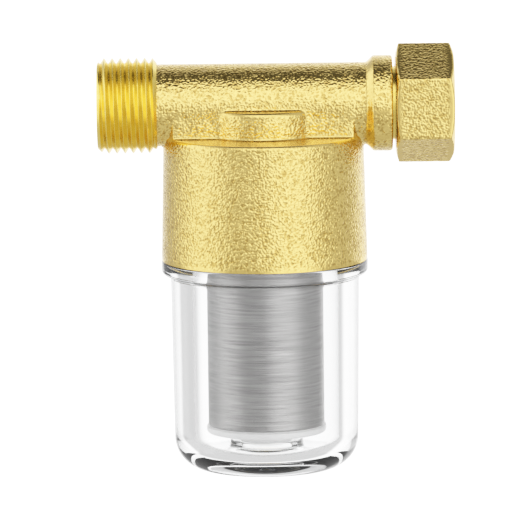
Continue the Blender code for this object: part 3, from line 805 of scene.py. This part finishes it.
def make_neck(machined):
    """The turned neck that the nut turns on, with the groove for its ring."""
    root = COLLAR_X[1] - 1
    low, high = NECK_GROOVE_X
    neck = [(RUN_BORE_R, NECK_END_X, 0.2), (NECK_R, NECK_END_X, 0.4), (NECK_R, high, 0.1)]
    neck += [(NECK_GROOVE_R, high, 0.15), (NECK_GROOVE_R, low, 0.15), (NECK_R, low, 0.1)]
    neck += [(NECK_R, root, 0), (RUN_BORE_R, root, 0)]
    piece = turned("swivel_neck", soften(neck, closed=True), machined, SMALL_ROUND)
    place(smooth(along_run(piece)), "head", "bright_brass", "filter_head")


# ---------------------------------------------------------------- swivel nut


def nut_grain(here):
    """Strength of the grain on the nut, none on the chamfers at its two ends."""
    inside = min(here.x - NUT_LOW.x - 0.7, NUT_HIGH.x - 1.0 - here.x)
    return 0.9 * min(1.0, max(0.0, inside))


def make_nut(cast, machined):
    """The hexagon with chamfered ends and its blasted skin, then the bore, the thread and the mouth."""
    low, high = NUT_LOW.x, NUT_HIGH.x
    corner_r = (NUT_HIGH.z - NUT_LOW.z) / 2
    corners = [math.tau * k / 6 for k in range(6)]
    outline = [(corner_r * math.cos(angle), corner_r * math.sin(angle)) for angle in corners]
    nut = prism("nut_body", outline, low, high, cast)
    blank_r = corner_r + 0.2
    blank = [(0, high, 0), (blank_r - 2.3, high, 0), (blank_r, high - 1.0, 0), (blank_r, low + 0.8, 0)]
    blank += [(blank_r - 2.7, low, 0), (0, low, 0)]
    combine(nut, "INTERSECT", spindle("blank", blank, cast, ROUND, 0.9))
    along_run(nut)
    voxel = NUT_VOXEL * 1
    blast(nut, voxel, 2, nut_grain)
    lip_r, recess_r, lip_x, thread_x = 8.45, 9.4, 31.2, 33.7
    bore = [(0, thread_x + 0.4, 0), (recess_r, thread_x + 0.4, 0), (recess_r, lip_x, 0.2)]
    bore += [(lip_r, lip_x, 0.1), (lip_r, low + 0.3, 0), (lip_r + 0.5, low - 0.2, 0), (0, low - 0.2, 0)]
    cutter = spindle("nut_bore", bore, machined, SMALL_ROUND, 0.4)
    radii = (PIPE_ROOT_R + 0.035, PIPE_CREST_R + 0.025)
    span = (thread_x, high + 1.5)
    rows = v_thread(PIPE_FLAT)
    run_out = (1.4, 9.0)
    thread = threaded_rod("nut_thread", radii, PIPE_PITCH, span, high, rows, run_out, ROUND, machined)
    combine(cutter, "UNION", thread)
    mouth_r, mouth_end = 10.7, high - 1.3
    mouth = [(0, high + 1, 0), (mouth_r + 1, high + 1, 0), (mouth_r, high, 0)]
    mouth += [(PIPE_ROOT_R - 0.2, mouth_end, 0), (0, mouth_end, 0)]
    combine(cutter, "UNION", spindle("mouth", mouth, machined, ROUND, 0.6))
    combine(nut, "DIFFERENCE", along_run(cutter))
    place(smooth(nut, 40.0), "nut", "cast_brass", "swivel_nut")


def make_ring(steel):
    """The open wire ring that holds the nut on its neck."""
    low, high = box_mm("nut_retaining_ring")
    wire_r = (high.x - low.x) / 2
    ring_r = (high.z - low.z) / 2 - wire_r
    opening, steps, sides = math.radians(50.0), 140, 20
    end_taper = 0.75
    middle_x = NUT_LOW.x + 2.6
    made = bmesh.new()
    sections = []
    for i in range(steps + 1):
        angle = opening / 2 + (math.tau - opening) * i / steps
        out = Vector((0, math.cos(angle), math.sin(angle)))
        size = wire_r * (end_taper if i in (0, steps) else 1.0)
        centre = Vector((middle_x, 0, RUN_Z)) + out * ring_r
        section = [
            made.verts.new((centre + (out * math.cos(t) + Vector((1, 0, 0)) * math.sin(t)) * size) * MM)
            for t in (math.tau * k / sides for k in range(sides))
        ]
        sections.append(section)
    for a, b in zip(sections, sections[1:]):
        for k in range(sides):
            made.faces.new((a[k], a[(k + 1) % sides], b[(k + 1) % sides], b[k]))
    made.faces.new(sections[0])
    made.faces.new(sections[-1])
    piece = add("ring_wire", mesh_from(made, "ring_wire"), steel)
    place(smooth(piece, 50.0), "head", "spring_steel", "nut_retaining_ring")


def make_washer(pressed_fibre):
    """The flat washer in the nut, its four edges eased."""
    low, high = box_mm("union_washer")
    inner, outer, eased = 6.8, high.y, 0.15
    corners = [(inner, high.x), (outer, high.x), (outer, low.x), (inner, low.x)]
    outline = soften([(r, z, eased) for r, z in corners], closed=True)
    piece = turned("washer_disc", outline, pressed_fibre, SMALL_ROUND)
    place(smooth(along_run(piece)), "nut", "fibre", "union_washer")


# ---------------------------------------------------------------- bowl


def make_bowl(clear):
    """The bowl's outside with its flange and thread, then the inside with the socket ring on its floor."""
    flange_r = BOWL_HIGH.x
    top, neck_r = BOWL_HIGH.z, 18.5
    flange_top, flange_bottom = RIM_Z - 0.05, 43.8
    wall_top_r, wall_foot_r, corner_r, corner_z = 21.05, 20.6, 7.1, 6.7
    outside = [(0, top, 0), (neck_r, top, 0.5), (neck_r, flange_top, 0.2), (flange_r, flange_top, 0.4)]
    outside += [(flange_r, flange_bottom, 0.8), (wall_top_r, flange_bottom, 1.2)]
    outside += [(wall_foot_r, corner_z, 0)]
    corner_end = math.degrees(math.asin(corner_z / corner_r))
    corner = arc((wall_foot_r - corner_r, corner_z), corner_r, 0, -corner_end, 16)
    outline = soften(outside, steps=10) + corner[1:] + [(0, 0)]
    bowl = turned("bowl_shell", outline, clear, BOWL_ROUND, closed=False)
    radii = (BOWL_ROOT_R, BOWL_CREST_R)
    rows = bowl_thread_rows(0.0)
    run_out = (1.2, 1.2)
    thread = threaded_rod(
        "thread", radii, BOWL_PITCH, BOWL_THREAD_Z, BOWL_THREAD_Z[0], rows, run_out, ROUND, clear
    )
    combine(bowl, "UNION", thread)
    mouth_r, inside_top_r, inside_foot_r, floor_fillet = 16.9, 16.7, 16.4, 4.2
    floor_z, socket_top = 3.6, 6.3
    inside = [(0, top + 1, 0), (mouth_r, top + 1, 0), (inside_top_r, top - 0.2, 0)]
    inside += [(inside_foot_r, floor_z, floor_fillet), (8.35, floor_z, 0.3), (8.1, socket_top, 0.35)]
    inside += [(6.2, socket_top, 0.35), (6.1, floor_z, 0.3), (0, floor_z, 0)]
    outline = soften(inside, steps=10)
    cutter = rotated(turned("inside", outline, clear, BOWL_ROUND, closed=False), 0.6)
    combine(bowl, "DIFFERENCE", cutter)
    place(smooth(bowl, 32.0), "bowl", "clear_plastic", "filter_bowl")


def make_seals(rubber):
    """The three O-rings, their sections round."""
    for node, body, segments in (
        ("bowl_o_ring", "bowl_carrier", ROUND),
        ("cartridge_o_ring", "cartridge", SMALL_ROUND),
        ("plug_o_ring", "cartridge", SMALL_ROUND),
    ):
        low, high = box_mm(node)
        wire_r = (high.z - low.z) / 2
        centre = (high.x - wire_r, (low.z + high.z) / 2)
        piece = turned(node + "_moulding", arc(centre, wire_r, 0, 345, 23), rubber, segments)
        place(smooth(piece), body, "silicone", node)


# ---------------------------------------------------------------- cartridge


def make_sleeve(steel):
    """Woven cloth round the cartridge: shallow uneven courses, its edges folded under at both ends."""
    inner = SLEEVE_HIGH.x - 0.5
    outer, low, high = SLEEVE_HIGH.x - 0.03, SLEEVE_LOW.z, SLEEVE_HIGH.z
    courses, fold = 190, 0.12
    slow_depth, fast_depth = 0.004, 0.003
    outline = [(inner, low + 0.2), (inner, low), (outer - 0.1, low)]
    outline += [(outer, low + fold + (high - low - 2 * fold) * i / courses) for i in range(courses + 1)]
    outline += [(outer - 0.1, high), (inner, high), (inner, high - 0.2)]

    def cloth(angle, r, z):
        if r < outer - 0.05:
            return r
        around = Vector((math.cos(angle), math.sin(angle), 0)) * 1.1
        slow = noise.noise(around + Vector((0, 0, z / 1.1)))
        fast = noise.noise(around * 1.6 + Vector((4, 9, z / 0.45)))
        return r + slow_depth * slow + fast_depth * fast

    piece = turned("sleeve_cloth", outline, steel, ROUND, wobble=cloth)
    place(smooth(piece, 60.0), "cartridge", "stainless_mesh", "mesh_sleeve")


def make_caps(plastic):
    """The two white caps. Each has a lip that stands inside the cage."""
    cap_r = box_mm("cartridge_bottom_cap")[1].x
    lip_in, lip_out, lip = 9.9, 10.9, 3
    low, high, rod_seat_top, spigot_end, step = 8.1, 9.5, 15.0, 5.2, 10.0
    bottom = [(5.3, rod_seat_top, 0.2), (7.0, rod_seat_top, 0.4), (7.0, high, 0.3), (lip_in, high, 0.3)]
    bottom += [(lip_in, high + lip, 0.2), (lip_out, high + lip, 0.2), (lip_out, high, 0.1)]
    bottom += [(cap_r, high, 0.25), (cap_r, low, 0.6), (5.8, low, 0.3), (5.8, spigot_end, 0.5)]
    bottom += [(4.6, spigot_end, 0.15), (4.6, step, 0.1), (5.3, step, 0.1)]
    piece = turned("bottom_cap_moulding", soften(bottom, closed=True), plastic, SMALL_ROUND)
    place(smooth(piece), "cartridge", "white_plastic", "cartridge_bottom_cap")
    low, high, neck_end = 66.3, 68.3, 78.2
    bore_r, neck_r, groove_r = 5.6, 8.4, 7.2
    groove_low, groove_high = 74.0, 75.8
    top = [(bore_r, neck_end, 0.2), (neck_r, neck_end, 0.5), (neck_r, groove_high, 0.1)]
    top += [(groove_r, groove_high, 0.15), (groove_r, groove_low, 0.15), (neck_r, groove_low, 0.1)]
    top += [(neck_r, high, 0.5), (cap_r, high, 0.4), (cap_r, low, 0.3), (lip_out, low, 0.1)]
    top += [(lip_out, low - lip, 0.2), (lip_in, low - lip, 0.2), (lip_in, low, 0.3), (bore_r, low, 0.3)]
    piece = turned("top_cap_moulding", soften(top, closed=True), plastic, SMALL_ROUND)
    place(smooth(piece), "cartridge", "white_plastic", "cartridge_top_cap")


def make_cage(plastic):
    """The moulded frame behind the cloth: rings and uprights round open windows."""
    low, high = box_mm("support_cage")
    inner, outer, rib = 11.2, high.x, 2.6
    bottom, top, rows, columns = low.z, high.z, 4, 6
    tube = [(inner, top, 0.2), (outer, top, 0.2), (outer, bottom, 0.2), (inner, bottom, 0.2)]
    cage = turned("cage_moulding", soften(tube, closed=True), plastic, SMALL_ROUND)
    row_pitch = (top - bottom - rib) / rows
    width = math.tau * inner / columns - rib
    for row in range(rows):
        for column in range(columns):
            made = bmesh.new()
            bmesh.ops.create_cube(made, size=1.0)
            bmesh.ops.scale(made, vec=(4 * MM, width * MM, (row_pitch - rib) * MM), verts=made.verts)
            bmesh.ops.bevel(made, geom=made.edges, offset=0.4 * MM, segments=3, profile=0.5, affect="EDGES")
            height = bottom + rib / 2 + row_pitch * (row + 0.5)
            bmesh.ops.translate(made, vec=((inner + outer) / 2 * MM, 0, height * MM), verts=made.verts)
            window = add("window", mesh_from(made, "window"), plastic)
            combine(cage, "DIFFERENCE", rotated(window, 360 * (column + 0.37) / columns))
    place(smooth(cage), "cartridge", "white_plastic", "support_cage")


# ---------------------------------------------------------------- magnet rod


def make_rod(tube_steel, magnet, iron, brass):
    """The steel pocket, the discs stacked in it, and the slotted plug with its groove."""
    low, high = box_mm("magnet_sheath")
    outer, wall = high.x, 0.6
    tube = [(0, high.z, 0), (outer, high.z, 1.2), (outer, low.z, 0.15), (outer - wall, low.z, 0.1)]
    tube += [(outer - wall, high.z - 0.7, 0.4), (0, high.z - 0.7, 0)]
    piece = turned("sheath_tube", soften(tube), tube_steel, SMALL_ROUND, closed=False)
    place(smooth(piece), "cartridge", "stainless_tube", "magnet_sheath")
    discs = [(f"magnet_{i}", magnet, "magnet_nickel") for i in range(1, 5)]
    discs += [(f"pole_disc_{i}", iron, "soft_iron") for i in range(1, 6)]
    for node, material, slot in discs:
        low, high = box_mm(node)
        disc = [(0, high.z, 0), (high.x, high.z, 0.25), (high.x, low.z, 0.25), (0, low.z, 0)]
        piece = turned(node + "_disc", soften(disc), material, DISC_ROUND, closed=False)
        place(smooth(piece), "cartridge", slot, node)
    low, high = box_mm("magnet_plug")
    thread_r, body_r, groove_r = 4.0, 4.3, 3.0
    thread_end, groove_high, groove_low = 9.8, 9.1, 7.5
    plug = [(0, high.z, 0), (thread_r, high.z, 0.2), (thread_r, thread_end, 0.1), (body_r, thread_end, 0.1)]
    plug += [(body_r, groove_high, 0.1), (groove_r, groove_high, 0.15), (groove_r, groove_low, 0.15)]
    plug += [(body_r, groove_low, 0.1), (body_r, low.z, 0.35), (0, low.z, 0)]
    piece = turned("plug_body", soften(plug), brass, SMALL_ROUND, closed=False)
    slot_length, slot_width, slot_height = 13, 1.0, 2.4
    made = bmesh.new()
    bmesh.ops.create_cube(made, size=1.0)
    bmesh.ops.scale(made, vec=(slot_length * MM, slot_width * MM, slot_height * MM), verts=made.verts)
    bmesh.ops.translate(made, vec=(0, 0, low.z * MM), verts=made.verts)
    combine(piece, "DIFFERENCE", add("slot", mesh_from(made, "slot"), brass))
    place(smooth(piece), "cartridge", "bright_brass", "magnet_plug")


# ---------------------------------------------------------------- the whole filter


def build():
    cast, machined = cast_brass(), machined_brass()
    plastic, rubber = white_plastic(), silicone()
    make_head(cast, machined)
    make_outlet_thread(machined)
    make_neck(machined)
    make_nut(cast, machined)
    make_ring(drawn_steel("spring_steel", (0.42, 0.42, 0.43), 0.22, 0.38))
    make_washer(fibre())
    make_bowl(clear_plastic())
    make_seals(rubber)
    make_sleeve(woven_steel())
    make_caps(plastic)
    make_cage(plastic)
    tube_steel = drawn_steel("stainless_tube", (0.5, 0.5, 0.5), 0.15, 0.3)
    make_rod(tube_steel, nickel(), soft_iron(), machined)


add_camera()
add_world()
add_tone()
add_floor()
build()
